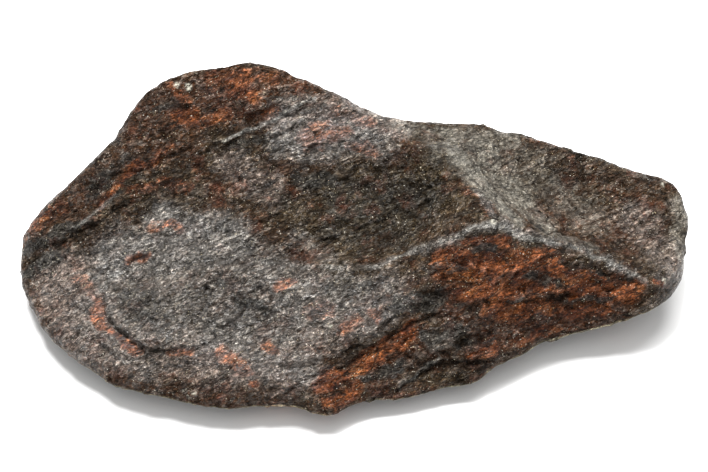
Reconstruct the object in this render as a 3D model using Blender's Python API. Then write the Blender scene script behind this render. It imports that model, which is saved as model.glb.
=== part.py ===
"""Iron meteorite: one weathered iron fragment, scooped and ridged, resting on a small flat spot.

Run with: blender --background --python part.py
Lengths inside the shape functions are millimetres. The mesh itself is in metres, +Z up.
X runs along the stone's length, Y from its thin front edge to its high back, and Z up from the
surface that it rests on.
"""

import math

import bmesh
import bpy
import numpy as np

MM = 0.001

# Driving dimensions
LENGTH = 73.0
DEPTH = 38.2
HEIGHT = 18.4
REST_SPOT = (-1.0, 0.5, 11.0, 6.5)
FACE_STEPS = 21
LUMP_SEED = 7
LUMP_HEIGHT = 0.26

# The widest line round the stone, anticlockwise from its right end: x, y, height, and how far
# in from the line the upper and the lower face take to round over.
RIM = (
    (37.0, 1.6, 6.0, 1.8, 4.0),
    (36.7, 5.4, 6.6, 1.8, 4.5),
    (34.4, 8.2, 6.4, 1.8, 5.0),
    (29.0, 9.3, 5.6, 2.2, 6.0),
    (22.0, 10.9, 5.2, 2.8, 6.5),
    (16.0, 12.8, 5.6, 3.2, 7.0),
    (10.0, 13.2, 6.0, 3.4, 7.0),
    (3.0, 13.6, 6.6, 3.6, 7.0),
    (-1.5, 15.2, 7.0, 3.8, 7.5),
    (-6.0, 16.9, 7.6, 4.0, 8.0),
    (-11.0, 17.9, 8.0, 4.2, 8.0),
    (-16.6, 17.4, 7.8, 4.2, 8.0),
    (-21.4, 16.2, 7.2, 3.8, 7.5),
    (-25.0, 13.6, 6.4, 3.2, 6.5),
    (-27.6, 9.4, 5.6, 2.8, 5.5),
    (-31.8, 6.6, 4.4, 2.2, 4.5),
    (-35.0, 4.4, 3.4, 1.8, 3.5),
    (-36.8, 1.2, 2.8, 1.5, 3.0),
    (-36.7, -1.4, 3.0, 2.4, 3.0),
    (-35.6, -4.9, 2.7, 2.4, 3.0),
    (-33.4, -9.3, 2.6, 2.4, 3.0),
    (-28.8, -13.9, 2.5, 2.4, 3.0),
    (-22.1, -17.8, 2.5, 2.4, 3.0),
    (-15.9, -19.2, 2.5, 2.4, 3.0),
    (-9.7, -19.4, 2.5, 2.4, 3.0),
    (-5.6, -19.4, 2.3, 1.4, 3.0),
    (-4.0, -20.2, 2.1, 1.4, 3.0),
    (-1.9, -20.2, 2.1, 1.4, 3.0),
    (-0.2, -19.2, 2.2, 1.4, 3.0),
    (3.0, -18.6, 2.0, 1.6, 3.0),
    (9.0, -17.1, 2.3, 1.8, 3.0),
    (13.3, -15.7, 2.4, 1.8, 3.0),
    (15.0, -13.9, 2.6, 1.8, 3.0),
    (17.6, -12.8, 2.8, 1.8, 3.0),
    (21.5, -11.0, 3.2, 1.8, 3.0),
    (26.0, -9.9, 3.6, 1.8, 3.5),
    (31.0, -8.4, 4.0, 1.8, 3.5),
    (34.4, -5.8, 4.4, 1.8, 3.5),
    (36.2, -2.0, 4.8, 1.8, 3.5),
)

# The crest along the stone's back, from its left end: x, y, height, and the slope of the side
# that falls from it towards the thin front edge.
BACK_RIDGE = (
    (-36.0, 1.5, 5.2, 0.55),
    (-32.0, 4.6, 8.6, 0.60),
    (-27.8, 7.2, 11.4, 0.64),
    (-25.0, 11.0, 15.6, 0.66),
    (-21.0, 13.6, 17.2, 0.66),
    (-16.5, 14.6, 18.2, 0.66),
    (-11.0, 15.2, 18.6, 0.55),
    (-6.0, 14.3, 17.4, 0.32),
    (-1.5, 12.8, 15.9, 0.18),
    (3.0, 11.2, 14.6, 0.08),
    (10.0, 11.0, 13.0, 0.02),
    (16.0, 10.8, 12.6, 0.04),
    (22.0, 9.2, 11.2, 0.08),
    (29.0, 7.8, 9.4, 0.08),
    (34.0, 6.4, 8.8, 0.04),
)

# The nearer crest: the shelf's inner edge, the bowl's lip, the peak, and the trough's near edge.
FRONT_RIDGE = (
    (-14.0, -4.2, 9.3, 0.33),
    (-10.7, -4.6, 9.0, 0.34),
    (-6.0, -5.0, 8.8, 0.36),
    (-2.6, -5.5, 8.8, 0.42),
    (2.8, -6.1, 9.6, 0.58),
    (7.2, -5.5, 11.6, 0.82),
    (11.0, -5.5, 13.4, 1.00),
    (14.6, -4.0, 14.8, 1.06),
    (17.5, -4.4, 13.7, 1.30),
    (23.4, -4.9, 11.0, 1.36),
    (28.6, -5.6, 9.0, 1.30),
    (31.5, -6.4, 7.4, 1.20),
    (34.3, -6.6, 6.4, 1.00),
)

# The faces between the crests, each as a point on it, its slope along X and Y there, and its bend
# along X, along Y and in twist; a bend above zero cups the face.
SHELF = ((-17.0, -8.0, 7.2), (0.145, 0.277), (-0.004, -0.0074, 0.0078))
SHELF_TOP = ((-10.0, 0.0, 10.0), (-0.05, -0.15), (0.0, 0.0, 0.0))
PEAK_RIGHT = ((13.0, -0.3, 14.8), (-0.31, -0.20), (0.0, 0.0, 0.0))
PEAK_TOP = ((8.0, 3.0, 14.6), (0.02, -0.20), (0.0, 0.0, 0.0))
PEAK_LEFT = ((-8.0, 0.0, 9.0), (1.2, 0.3), (0.0, 0.0, 0.0))
BOWL = ((0.0, -4.0, 8.1), (0.16, 0.06), (0.026, 0.0375, 0.0))
TROUGH = ((24.0, 0.0, 9.1), (-0.32, -0.10), (0.011, 0.036, 0.024))

# Steps in the surface where the iron parts in layers: a line in plan from one end to the other,
# the step's height, and how far behind the line it dies away. The high side is on the line's left.
LEDGES = (
    (-15.4, 7.2, -3.2, 12.4, 0.9, 2.6),
    (-5.6, 9.6, 0.4, 9.8, 0.5, 2.0),
    (-35.4, -2.2, -23.0, 2.6, 0.7, 2.2),
    (-31.6, 3.4, -17.6, 7.4, 0.8, 2.4),
    (-9.0, -18.6, -1.4, -14.2, 0.9, 2.6),
    (-2.4, -15.0, 8.4, -9.6, 1.0, 3.0),
    (3.6, -17.0, 9.6, -13.6, 1.0, 2.6),
    (9.0, -13.8, 15.6, -13.0, 0.8, 2.4),
    (6.6, -9.8, 16.0, -6.4, 0.8, 2.2),
    (16.4, -9.8, 26.4, -7.2, 0.7, 2.0),
    (24.0, -9.2, 33.6, -6.8, 0.6, 1.8),
    (-25.6, -7.2, -19.0, -12.6, 0.4, 2.2),
)

# Thumbprint hollows round the stone's back, ends and underside: the centre, radius and depth.
THUMBPRINTS = (
    (-22.0, -4.0, 1.0, 9.0, 1.2),
    (-16.0, 9.5, 1.5, 7.5, 1.5),
    (2.0, -12.5, 1.0, 6.5, 0.7),
    (18.5, 2.0, 0.5, 8.5, 1.3),
    (5.0, 10.5, 1.5, 5.5, 1.1),
    (28.0, -3.0, 2.0, 6.0, 0.8),
    (-9.0, 18.0, 10.5, 7.0, 1.1),
    (-20.0, 16.5, 10.0, 5.5, 0.9),
    (-29.0, 8.5, 8.0, 5.0, 0.7),
    (5.0, 14.0, 8.5, 6.5, 1.2),
    (17.5, 12.5, 8.0, 5.5, 0.9),
    (27.0, 9.5, 5.0, 5.0, 0.8),
    (36.5, 1.0, 5.0, 4.5, 0.6),
    (-22.0, 8.0, 14.0, 5.0, 0.5),
    (-12.5, -12.0, 6.5, 5.5, 0.4),
    (25.0, 2.5, 9.0, 5.0, 0.4),
)


def soft_min(a, b, blend):
    """The lower of two surfaces, with the ridge between them rounded over a width of blend."""
    share = np.clip(0.5 + 0.5 * (b - a) / blend, 0.0, 1.0)
    return b + (a - b) * share - blend * share * (1.0 - share)


def soft_max(a, b, blend):
    return -soft_min(-a, -b, blend)


def bent_face(face, x, y):
    """Height of one of the faces above."""
    at, slope, bend = face
    dx, dy = x - at[0], y - at[1]
    z = at[2] + slope[0] * dx + slope[1] * dy
    return z + bend[0] * dx * dx + bend[1] * dy * dy + bend[2] * dx * dy


def crest(line, x, y, behind):
    """A long crest: it falls by its own slope towards the front, and by behind at its back."""
    rows = np.array(line)
    crest_y, crest_z, slope = (np.interp(x, rows[:, 0], rows[:, k]) for k in (1, 2, 3))
    before = crest_y - y
    return crest_z - slope * np.maximum(before, 0.0) + behind * np.maximum(-before, 0.0)


def ledge(x, y, x0, y0, x1, y1, height, run):
    """A layer's broken edge: full height at the line, dying away behind it, none before it."""
    length = math.hypot(x1 - x0, y1 - y0)
    ux, uy = (x1 - x0) / length, (y1 - y0) / length
    along = ((x - x0) * ux + (y - y0) * uy) / length
    behind = (y - y0) * ux - (x - x0) * uy
    window = np.clip(np.minimum(along, 1.0 - along) * 4.0, 0.0, 1.0)
    rise = np.clip(behind / 0.8, 0.0, 1.0)
    return height * window * rise * np.exp(-np.maximum(behind - 0.8, 0.0) / run)


def upper_face(x, y):
    """Height of the side that faces up, in mm: the masses first, then what is scooped from them."""
    shelf = soft_min(bent_face(SHELF, x, y), bent_face(SHELF_TOP, x, y), 1.0)
    z = soft_max(shelf, crest(BACK_RIDGE, x, y, -0.25), 1.5)
    peak = soft_min(bent_face(PEAK_RIGHT, x, y), bent_face(PEAK_TOP, x, y), 1.0)
    peak = soft_min(peak, bent_face(PEAK_LEFT, x, y), 1.5)
    z = soft_max(z, peak, 1.5)
    hollows = soft_min(bent_face(BOWL, x, y), bent_face(TROUGH, x, y), 1.5)
    hollows = soft_max(hollows, crest(FRONT_RIDGE, x, y, -0.8), 0.6)
    z = soft_min(z, hollows, 1.0)
    z = soft_min(z, crest(FRONT_RIDGE, x, y, 1.2), 1.8)
    for line in LEDGES:
        z = z + ledge(x, y, *line)
    return z


def away_from_rest_spot(x, y):
    """1 on the edge of the flat spot that the stone rests on, less inside it."""
    cx, cy, rx, ry = REST_SPOT
    return np.hypot((x - cx) / rx, (y - cy) / ry)


def lower_face(x, y):
    """Height of the side that the stone lies on, in mm: 0 on the rest spot, rising round it."""
    away = away_from_rest_spot(x, y)
    return 0.5 * np.maximum(away - 1.0, 0.0) ** 1.35 + 0.028 * np.maximum(x - 13.0, 0.0) ** 1.4


def rounding(inward, width):
    """0 at the rim to 1 at width inside it, as a quarter circle."""
    u = np.clip(inward / width, 0.0, 1.0)
    return np.sqrt(1.0 - (1.0 - u) ** 2)


def rim_at(bearing):
    """Reach, height and the two rounding widths of the rim at these bearings, in mm."""
    rim = np.array(RIM)
    order = np.arctan2(rim[:, 1], rim[:, 0])
    start = np.argsort(order)
    rim, order = rim[start], order[start]
    values = np.column_stack([np.hypot(rim[:, 0], rim[:, 1]), rim[:, 2:]])
    count = len(rim)
    knots = np.concatenate([order - 2 * math.pi, order, order + 2 * math.pi])
    tiled = np.vstack([values] * 3)
    slopes = np.gradient(tiled, knots, axis=0)
    at = np.clip(np.searchsorted(knots, bearing) - 1, count // 2, 3 * count - count // 2)
    width = (knots[at + 1] - knots[at])[:, None]
    t = ((bearing - knots[at]) / width[:, 0])[:, None]
    before, after = tiled[at], tiled[at + 1]
    return (
        before * (2 * t**3 - 3 * t**2 + 1)
        + after * (3 * t**2 - 2 * t**3)
        + slopes[at] * width * (t**3 - 2 * t**2 + t)
        + slopes[at + 1] * width * (t**3 - t**2)
    )


def thumbprint_depth(points):
    """How far the thumbprint hollows take the surface in at these points, in mm."""
    depth = np.zeros(len(points))
    for x, y, z, radius, deep in THUMBPRINTS:
        reach = np.linalg.norm(points - (x, y, z), axis=1) / radius
        depth += deep * np.clip(1.0 - reach * reach, 0.0, 1.0) ** 1.5
    return depth


def lumps(points):
    """Low lumps all over the surface, drawn out along the layers of the iron: about -1 to 1."""
    rng = np.random.default_rng(LUMP_SEED)
    total = np.zeros(len(points))
    for _ in range(40):
        wave = rng.normal(size=3) * (0.75, 1.25, 1.25)
        wave *= 2.0 * math.pi / (rng.uniform(3.8, 10.5) * np.linalg.norm(wave))
        total += np.sin(points @ wave + rng.uniform(0.0, 2.0 * math.pi))
    return total / 6.0


def stone_points(directions):
    """Turns the unit directions of a ball's vertices into the stone's surface points, in mm."""
    nx, ny, nz = directions.T
    bearing = np.arctan2(ny, nx)
    reach, rim_z, upper_width, lower_width = rim_at(bearing).T
    flat_share = np.sqrt(np.clip(1.0 - np.abs(nz), 0.0, 1.0))
    round_share = np.hypot(nx, ny)
    share = 0.65 * flat_share + 0.35 * round_share
    x = share * reach * np.cos(bearing)
    y = share * reach * np.sin(bearing)
    inward = (1.0 - share) * reach
    upper = rim_z + (upper_face(x, y) - rim_z) * rounding(inward, upper_width)
    lower = rim_z + (lower_face(x, y) - rim_z) * rounding(inward, lower_width)
    points = np.column_stack([x, y, np.where(nz >= 0.0, upper, lower)])
    outward = directions / (LENGTH, DEPTH, HEIGHT)
    outward /= np.linalg.norm(outward, axis=1)[:, None]
    clear = np.clip(1.5 * (away_from_rest_spot(x, y) - 1.0), 0.0, 1.0)
    height = (LUMP_HEIGHT * lumps(points) - thumbprint_depth(points)) * np.where(nz >= 0.0, 1.0, clear)
    points += height[:, None] * outward
    points[:, 2] = np.maximum(points[:, 2], 0.0)
    return points


def sized(points):
    """Scales the points to the driving dimensions, over the origin and resting on z = 0."""
    low, high = points.min(axis=0), points.max(axis=0)
    middle = (low + high) / 2.0
    base = np.array([middle[0], middle[1], low[2]])
    return (points - base) * ((LENGTH, DEPTH, HEIGHT) / (high - low))


def ball(steps):
    """An icosahedron with each edge cut into steps, its vertices on the unit sphere."""
    mesh = bmesh.new()
    bmesh.ops.create_icosphere(mesh, subdivisions=1, radius=1.0)
    bmesh.ops.subdivide_edges(mesh, edges=mesh.edges[:], cuts=steps - 1, use_grid_fill=True)
    bmesh.ops.triangulate(mesh, faces=mesh.faces[:])
    for vertex in mesh.verts:
        vertex.co.normalize()
    return mesh


def iron_material():
    material = bpy.data.materials.new("weathered_iron")
    material.use_nodes = True
    shader = material.node_tree.nodes["Principled BSDF"]
    shader.inputs["Base Color"].default_value = (0.085, 0.062, 0.052, 1.0)
    shader.inputs["Metallic"].default_value = 0.35
    shader.inputs["Roughness"].default_value = 0.55
    return material


def build():
    for obj in list(bpy.data.objects):
        bpy.data.objects.remove(obj)
    collection = bpy.data.collections.new("Iron meteorite")
    bpy.context.scene.collection.children.link(collection)
    shape = ball(FACE_STEPS)
    directions = np.array([vertex.co for vertex in shape.verts])
    for vertex, point in zip(shape.verts, sized(stone_points(directions))):
        vertex.co = point * MM
    mesh = bpy.data.meshes.new("meteorite")
    shape.to_mesh(mesh)
    shape.free()
    stone = bpy.data.objects.new("meteorite", mesh)
    collection.objects.link(stone)
    mesh.materials.append(iron_material())
    mesh.shade_smooth()


build()
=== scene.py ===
"""Iron meteorite: the stone's fine surface and its looks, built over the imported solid.

The solid's node is copied, refined and worked in millimetres: layers, flakes, lumps, pits and
cracks move its points along their normals, and soft patches say which crust lies where. The
material then draws each crust with its own grain, sparkle, roughness and bump.
"""

import math
from types import SimpleNamespace

import bmesh
import bpy
import numpy as np
from mathutils import Matrix, Vector


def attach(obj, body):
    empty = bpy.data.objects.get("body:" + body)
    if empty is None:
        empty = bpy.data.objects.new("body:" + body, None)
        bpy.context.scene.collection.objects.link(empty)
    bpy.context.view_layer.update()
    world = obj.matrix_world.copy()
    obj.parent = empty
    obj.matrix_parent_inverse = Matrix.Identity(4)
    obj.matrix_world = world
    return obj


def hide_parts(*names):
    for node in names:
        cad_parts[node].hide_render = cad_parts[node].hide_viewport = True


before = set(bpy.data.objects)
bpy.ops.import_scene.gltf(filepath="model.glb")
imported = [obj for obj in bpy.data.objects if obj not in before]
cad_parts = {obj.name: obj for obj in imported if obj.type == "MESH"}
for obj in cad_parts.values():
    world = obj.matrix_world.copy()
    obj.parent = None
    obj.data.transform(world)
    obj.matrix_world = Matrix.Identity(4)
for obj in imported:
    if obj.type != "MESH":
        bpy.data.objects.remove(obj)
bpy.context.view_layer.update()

MM = 0.001
SEED = 41

# The fine mesh: the length of a face's side in mm, and how many triangles the skin may have.
# The underside gets larger faces, so that the count is kept.
SKIN_STEP = 0.225
SKIN_TRIANGLES = 190000

# The iron parts in thin layers. They run along one direction and dip towards the front.
LAYER_NORMAL = np.array((-0.38, 0.60, 0.71)) / np.linalg.norm((-0.38, 0.60, 0.71))
LAYER_ALONG = np.array((0.84, 0.54, 0.0)) / np.linalg.norm((0.84, 0.54, 0.0))
LAYER_ACROSS = np.cross(LAYER_NORMAL, LAYER_ALONG)

# Flakes, which part along the layers: length along, across and through the layers, the step
# from one to the next and how much their faces lean, in mm, and a seed
FLAKES = (
    ((3.4, 2.6, 1.6), 0.13, 0.32, 20),
    ((1.6, 1.3, 0.9), 0.05, 0.14, 22),
)

# The layers' own steps: how thick the layers are and how high each step is, in mm, and a seed
LAYER_STEPS = (
    (2.3, 0.13, 3),
    (1.1, 0.06, 4),
    (0.6, 0.03, 5),
)

# The scratched slope right of the peak: the way its scratches run, how long, wide and tall their
# pattern is, and how high they stand, in mm
SCRATCH_ALONG = np.array((0.64, -0.76, 0.05))
SCRATCH_ACROSS = np.array((0.77, 0.64, 0.0))
SCRATCH_SIZE = (5.0, 0.42, 3.0)
SCRATCH_HEIGHT = 0.08

# Lumps: the grain that they are stretched along, how much larger than it they are, and their
# height in mm
LUMP_GRAIN = (1.9, 1.2, 0.8)
LUMP_SIZE = 1.9
LUMP_HEIGHT = 0.10

# Pits: how far their centres lie apart and how deep they are, in mm, and how many of the centres
# have one
PIT_SPACING = 2.2
PIT_DEPTH = 0.10
PIT_SHARE = 0.20

# How high a worn lip stands, in mm
LIP_HEIGHT = 0.06

# How a patch's outline wanders: over what length and how far, in mm, and a seed
WANDERS = (
    (3.0, 0.75, 60),
    (0.9, 0.30, 70),
)

# Where the far side starts (y), where the painted bounce light from the floor along the low front
# edge ends (y, then z), and where the relief fades out above the flat spot (z): from and to, in mm
FAR_SIDE = (13.0, 17.0)
RIM_BACK = (-4.0, 4.0)
RIM_TOP = (4.0, 6.5)
REST_FADE = (0.02, 0.25)

# Patches of crust; the silver patches are partly a painted sheen, and two thin dark ones a painted
# shadow, as marked. Each lies along a line from one point to the other: the two points
# (x, y, z) and its half width, in mm in the frame of the solid, and its strength.
CRUSTS = {
    # Silvery crust, painted paler than the metal alone as a sheen where the plate faces the softboxes
    "silver_and_sheen": (
        ((-23.0, -5.0, 5.8), (-8.0, -8.0, 6.8), 6.0, 0.62),
        ((-10.0, -3.6, 7.6), (2.0, -9.0, 7.4), 2.6, 0.55),
        ((-25.0, -1.5, 6.5), (-13.0, -1.5, 8.6), 3.2, 0.90),
        ((-22.0, -9.0, 5.6), (-14.0, -4.0, 8.0), 3.0, 0.60),
        ((-14.0, -11.0, 5.6), (-4.0, -8.0, 7.2), 3.2, 0.75),
        ((-20.7, 1.9, 8.6), (-13.0, -0.5, 9.2), 2.0, 0.90),
        ((-28.0, -8.0, 4.6), (-22.0, -14.0, 4.2), 2.0, 0.45),
        ((-28.4, -3.4, 5.4), (-25.4, -3.4, 6.0), 1.0, 0.60),
        ((-10.0, -14.0, 4.8), (-5.0, -15.0, 4.6), 1.8, 0.50),
        ((-5.0, -6.0, 8.0), (3.0, -7.5, 8.6), 1.8, 0.60),
        ((-7.0, 9.2, 13.8), (1.0, 9.4, 14.1), 2.3, 0.80),
        ((0.0, 9.0, 14.0), (3.6, 8.2, 13.6), 1.8, 0.42),
        ((-6.0, 0.0, 8.8), (-3.0, -3.0, 8.4), 1.2, 0.40),
        # Along the ridges' crests: a painted sheen
        ((12.5, 2.0, 13.9), (14.4, -2.2, 14.0), 0.5, 0.60),
        ((1.7, -4.7, 9.2), (8.6, -4.2, 11.7), 0.7, 0.45),
        ((8.6, -4.2, 11.7), (14.4, -3.2, 13.7), 0.7, 0.62),
        ((14.7, -3.1, 13.7), (23.7, -3.5, 10.2), 0.6, 0.60),
        ((23.7, -3.5, 10.2), (29.8, -4.8, 8.1), 0.6, 0.55),
    ),
    "plum": (
        ((-31.0, -3.6, 5.2), (-27.0, -11.0, 4.2), 3.8, 0.95),
        ((-26.0, -11.4, 4.4), (-6.0, -14.8, 4.6), 3.0, 0.90),
        ((-4.0, -12.0, 5.4), (4.0, -8.0, 7.8), 2.4, 0.70),
        ((-7.0, 11.0, 15.0), (4.0, 11.0, 14.4), 2.4, 1.10),
        ((-29.0, -2.0, 5.8), (-24.0, -1.5, 6.8), 1.8, 0.80),
        ((-28.6, -3.2, 5.5), (-25.4, -2.8, 6.1), 1.4, 1.20),
        ((-22.0, -13.5, 4.6), (-17.0, -14.5, 4.6), 1.6, 0.50),
        ((-18.0, 1.0, 8.9), (-14.0, 1.5, 9.3), 1.2, 0.90),
        ((-13.0, 7.0, 12.0), (-9.0, 4.5, 10.6), 2.0, 0.60),
        ((-8.0, 8.5, 13.4), (-3.0, 9.4, 14.2), 1.5, 0.50),
        ((30.5, 3.0, 7.7), (33.5, -2.5, 6.6), 2.4, 0.65),
        ((-10.0, -4.8, 8.2), (-5.0, -5.4, 8.2), 1.6, 0.50),
    ),
    "rust": (
        ((-18.8, 11.8, 14.9), (-17.2, 11.6, 14.9), 1.2, 0.86),
        ((-16.2, 11.0, 14.7), (-13.8, 11.6, 15.2), 1.0, 0.60),
        ((-9.6, 11.3, 15.9), (-8.4, 11.8, 16.0), 0.9, 0.58),
        ((-15.4, 15.2, 17.6), (-9.0, 15.0, 17.6), 1.2, 0.50),
        ((-13.0, 14.0, 17.2), (-11.0, 13.4, 16.8), 1.2, 0.64),
        ((-20.0, 14.3, 16.8), (-18.0, 13.4, 16.0), 0.8, 0.50),
        ((-27.4, 4.1, 9.1), (-23.0, 7.2, 12.1), 0.7, 0.78),
        ((-23.0, 7.2, 12.1), (-19.5, 8.9, 13.0), 0.7, 0.60),
        ((-24.0, 4.7, 10.6), (-17.7, 5.3, 11.0), 0.8, 0.55),
        ((-35.6, 3.0, 4.8), (-31.6, 4.4, 7.2), 1.2, 0.60),
        ((-31.2, -0.8, 5.4), (-31.3, 0.8, 5.9), 0.35, 0.80),
        ((-27.2, -6.4, 4.9), (-26.2, -9.4, 4.8), 0.7, 0.88),
        ((-26.2, -9.4, 4.8), (-22.4, -12.4, 4.6), 0.7, 0.85),
        ((-29.4, -3.4, 5.2), (-27.6, -5.4, 5.0), 1.0, 0.45),
        ((-18.6, -13.0, 4.8), (-17.0, -12.9, 4.9), 0.7, 0.80),
        ((-14.2, -12.9, 4.8), (-12.4, -13.8, 4.8), 0.9, 0.66),
        ((-11.8, -14.0, 4.7), (-10.8, -15.2, 4.5), 0.8, 0.62),
        ((-9.9, -16.3, 4.0), (-9.6, -16.7, 3.9), 0.6, 0.80),
        ((-9.0, -12.5, 5.4), (-8.2, -12.9, 5.4), 0.7, 0.66),
        ((-7.6, -6.4, 7.9), (-6.4, -6.0, 8.1), 0.8, 0.66),
        ((-4.4, -9.6, 6.8), (-2.8, -9.0, 7.2), 0.9, 0.46),
        ((-24.6, -2.2, 6.4), (-21.6, -1.8, 7.2), 0.45, 0.85),
        ((-19.2, -15.9, 4.2), (-18.6, -15.7, 4.3), 0.5, 0.60),
        ((2.0, -9.8, 7.2), (3.6, -8.4, 8.0), 0.8, 0.70),
        ((-1.0, -11.0, 6.3), (0.4, -10.4, 6.8), 0.7, 0.60),
        ((-4.8, 9.8, 14.1), (-1.0, 9.9, 14.2), 1.3, 0.68),
        ((-2.6, 11.6, 15.0), (1.6, 11.2, 14.6), 1.0, 0.56),
        ((-4.6, 8.5, 13.3), (-3.6, 8.6, 13.4), 0.8, 0.60),
        ((0.0, 8.3, 13.3), (1.6, 8.3, 13.4), 0.9, 0.60),
        ((-3.6, -16.6, 3.6), (0.2, -14.5, 4.2), 0.9, 1.00),
        ((0.2, -14.4, 4.2), (5.9, -11.4, 6.0), 0.9, 1.00),
        ((-2.6, -18.0, 2.7), (0.6, -16.4, 3.0), 1.0, 0.85),
        ((9.4, -6.4, 10.8), (14.5, -6.2, 11.2), 1.7, 1.00),
        ((14.5, -6.0, 10.8), (20.4, -5.6, 9.8), 1.7, 1.00),
        ((12.4, -8.2, 9.0), (18.0, -7.6, 8.4), 1.6, 0.90),
        ((12.1, -4.7, 12.8), (16.4, -4.5, 12.4), 0.7, 0.80),
        ((16.4, -4.7, 12.1), (21.0, -5.0, 10.4), 0.7, 0.75),
        ((20.0, -6.4, 8.8), (25.6, -6.2, 7.6), 1.4, 1.00),
        ((24.0, -6.8, 7.0), (29.4, -6.2, 6.8), 1.2, 1.00),
        ((14.0, -9.6, 7.2), (20.4, -8.6, 6.4), 1.1, 0.90),
        ((19.0, -8.6, 6.2), (26.0, -7.6, 5.4), 0.9, 0.75),
        ((11.0, 3.2, 13.7), (13.6, -1.8, 14.0), 0.5, 0.28),
        ((-21.6, 1.3, 8.4), (-18.6, 1.2, 8.8), 0.7, 0.62),
        ((12.0, -12.8, 4.6), (15.0, -12.2, 4.4), 0.7, 0.80),
        ((17.7, -10.9, 3.9), (21.5, -9.4, 4.2), 0.7, 0.80),
        ((31.8, -4.8, 6.8), (33.0, -4.6, 6.7), 0.5, 0.90),
        ((21.0, 10.6, 10.8), (23.6, 10.2, 10.2), 0.6, 0.50),
    ),
    "dark": (
        ((-23.4, -6.6, 6.0), (-20.2, -10.4, 5.6), 2.3, 0.50),
        ((-24.9, -9.3, 4.9), (-21.9, -12.0, 4.8), 0.35, 0.90),
        ((-35.4, 1.2, 4.5), (-31.6, 1.8, 6.7), 0.85, 1.00),
        ((-31.6, 1.8, 6.7), (-28.9, 2.8, 8.1), 0.7, 0.95),
        ((-35.2, -1.5, 3.6), (-31.6, -0.2, 5.5), 1.0, 1.00),
        ((-28.4, 5.6, 9.4), (-27.0, 6.8, 10.8), 1.1, 0.80),
        ((-26.2, 6.8, 11.6), (-24.0, 8.6, 12.8), 0.8, 0.60),
        ((-21.6, 12.4, 15.2), (-19.4, 13.0, 15.8), 0.8, 0.55),
        ((-13.0, 8.4, 13.4), (-8.0, 9.6, 14.4), 0.7, 0.70),
        ((-7.0, 11.2, 15.4), (-3.6, 12.0, 15.9), 0.6, 0.70),
        ((-9.0, 12.6, 16.4), (-5.0, 13.0, 16.5), 1.0, 0.50),
        ((-5.4, 5.9, 11.0), (-2.2, 5.6, 10.9), 1.1, 0.80),
        ((-1.0, 3.6, 10.0), (7.0, 2.4, 11.2), 3.0, 0.55),
        ((-2.0, 0.5, 8.9), (5.0, -1.2, 9.8), 2.2, 0.45),
        ((-14.5, -5.8, 7.9), (-9.2, -8.4, 6.5), 0.8, 0.75),
        ((-3.0, -6.8, 7.9), (3.0, -6.4, 8.6), 0.5, 0.60),
        ((-8.0, -11.6, 5.8), (-5.0, -12.0, 5.7), 0.5, 0.50),
        ((-30.8, -10.2, 3.4), (-21.2, -16.6, 3.0), 0.9, 0.40),
        ((-20.9, -16.9, 3.0), (-9.0, -18.3, 2.8), 0.9, 0.40),
        ((12.2, -5.2, 12.2), (14.8, -5.2, 12.0), 0.5, 1.00),
        ((8.0, -6.6, 10.2), (10.6, -6.6, 10.8), 0.8, 0.90),
        ((18.5, -6.6, 9.0), (21.0, -6.5, 8.8), 0.7, 0.95),
        ((2.6, -8.6, 7.6), (6.4, -8.8, 8.2), 1.1, 0.85),
        ((6.0, -9.6, 7.6), (9.0, -8.6, 8.6), 1.0, 0.90),
        ((8.2, -11.9, 5.7), (11.0, -11.2, 6.4), 1.1, 0.90),
        ((16.3, -8.4, 7.7), (20.0, -7.8, 7.4), 0.35, 0.80),
        ((13.0, -7.2, 10.0), (16.0, -6.9, 10.0), 0.30, 0.60),
        ((22.5, -7.4, 6.6), (27.0, -7.0, 6.3), 0.4, 0.80),
        # A thin painted shadow under the crest of the right-hand ridge
        ((25.0, -5.9, 8.0), (28.0, -6.0, 7.4), 0.3, 0.60),
        ((10.5, -9.4, 8.2), (13.5, -9.0, 8.4), 0.35, 0.60),
        ((8.6, -12.4, 4.8), (11.6, -11.6, 5.4), 1.0, 0.60),
        # A thin painted shadow under the crest of the right-hand ridge
        ((24.6, -5.2, 9.0), (29.4, -5.4, 7.5), 0.35, 1.00),
        ((1.4, -15.4, 3.4), (4.4, -14.0, 3.9), 0.8, 0.80),
        ((19.0, -1.2, 11.6), (19.9, -1.6, 11.4), 0.5, 1.00),
    ),
    "dust": (
        ((10.2, 10.8, 13.3), (11.6, 7.2, 13.9), 1.3, 0.80),
        ((11.6, 7.2, 13.9), (14.4, 1.8, 13.2), 1.7, 1.00),
        ((14.4, 1.8, 13.2), (16.6, -1.6, 13.2), 1.4, 0.95),
        ((14.0, 8.8, 12.9), (17.6, 3.0, 11.4), 2.6, 0.75),
        ((17.6, 3.0, 11.4), (20.4, -1.2, 11.2), 2.0, 0.70),
        ((19.0, 8.0, 11.0), (25.0, 3.0, 9.0), 2.8, 0.40),
        ((11.6, 11.0, 13.1), (17.0, 10.4, 12.2), 1.3, 0.55),
        ((20.0, -1.9, 11.2), (25.0, -2.9, 9.6), 1.0, 0.60),
        ((35.7, 5.9, 7.6), (34.9, -1.1, 6.4), 1.0, 0.58),
        ((4.6, 11.4, 14.0), (9.4, 10.6, 13.3), 1.1, 0.50),
        ((8.9, 11.0, 13.3), (8.8, 6.6, 14.4), 1.1, 0.50),
    ),
    "brown": (
        ((-30.6, -10.0, 3.6), (-21.0, -16.4, 3.2), 1.3, 0.65),
        ((-21.0, -16.8, 3.2), (-8.0, -18.0, 3.0), 1.3, 0.65),
        ((-22.0, 12.5, 15.5), (-6.0, 13.4, 16.5), 3.6, 0.85),
        ((-34.0, 4.0, 6.0), (-26.0, 7.5, 11.5), 2.2, 0.70),
        ((-26.0, 7.5, 11.5), (-18.0, 9.6, 13.6), 2.4, 0.70),
        ((-12.0, 6.4, 11.6), (-6.0, 6.0, 11.4), 2.0, 0.45),
        ((9.6, -8.6, 8.4), (14.6, -11.4, 5.4), 1.8, 1.00),
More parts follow.
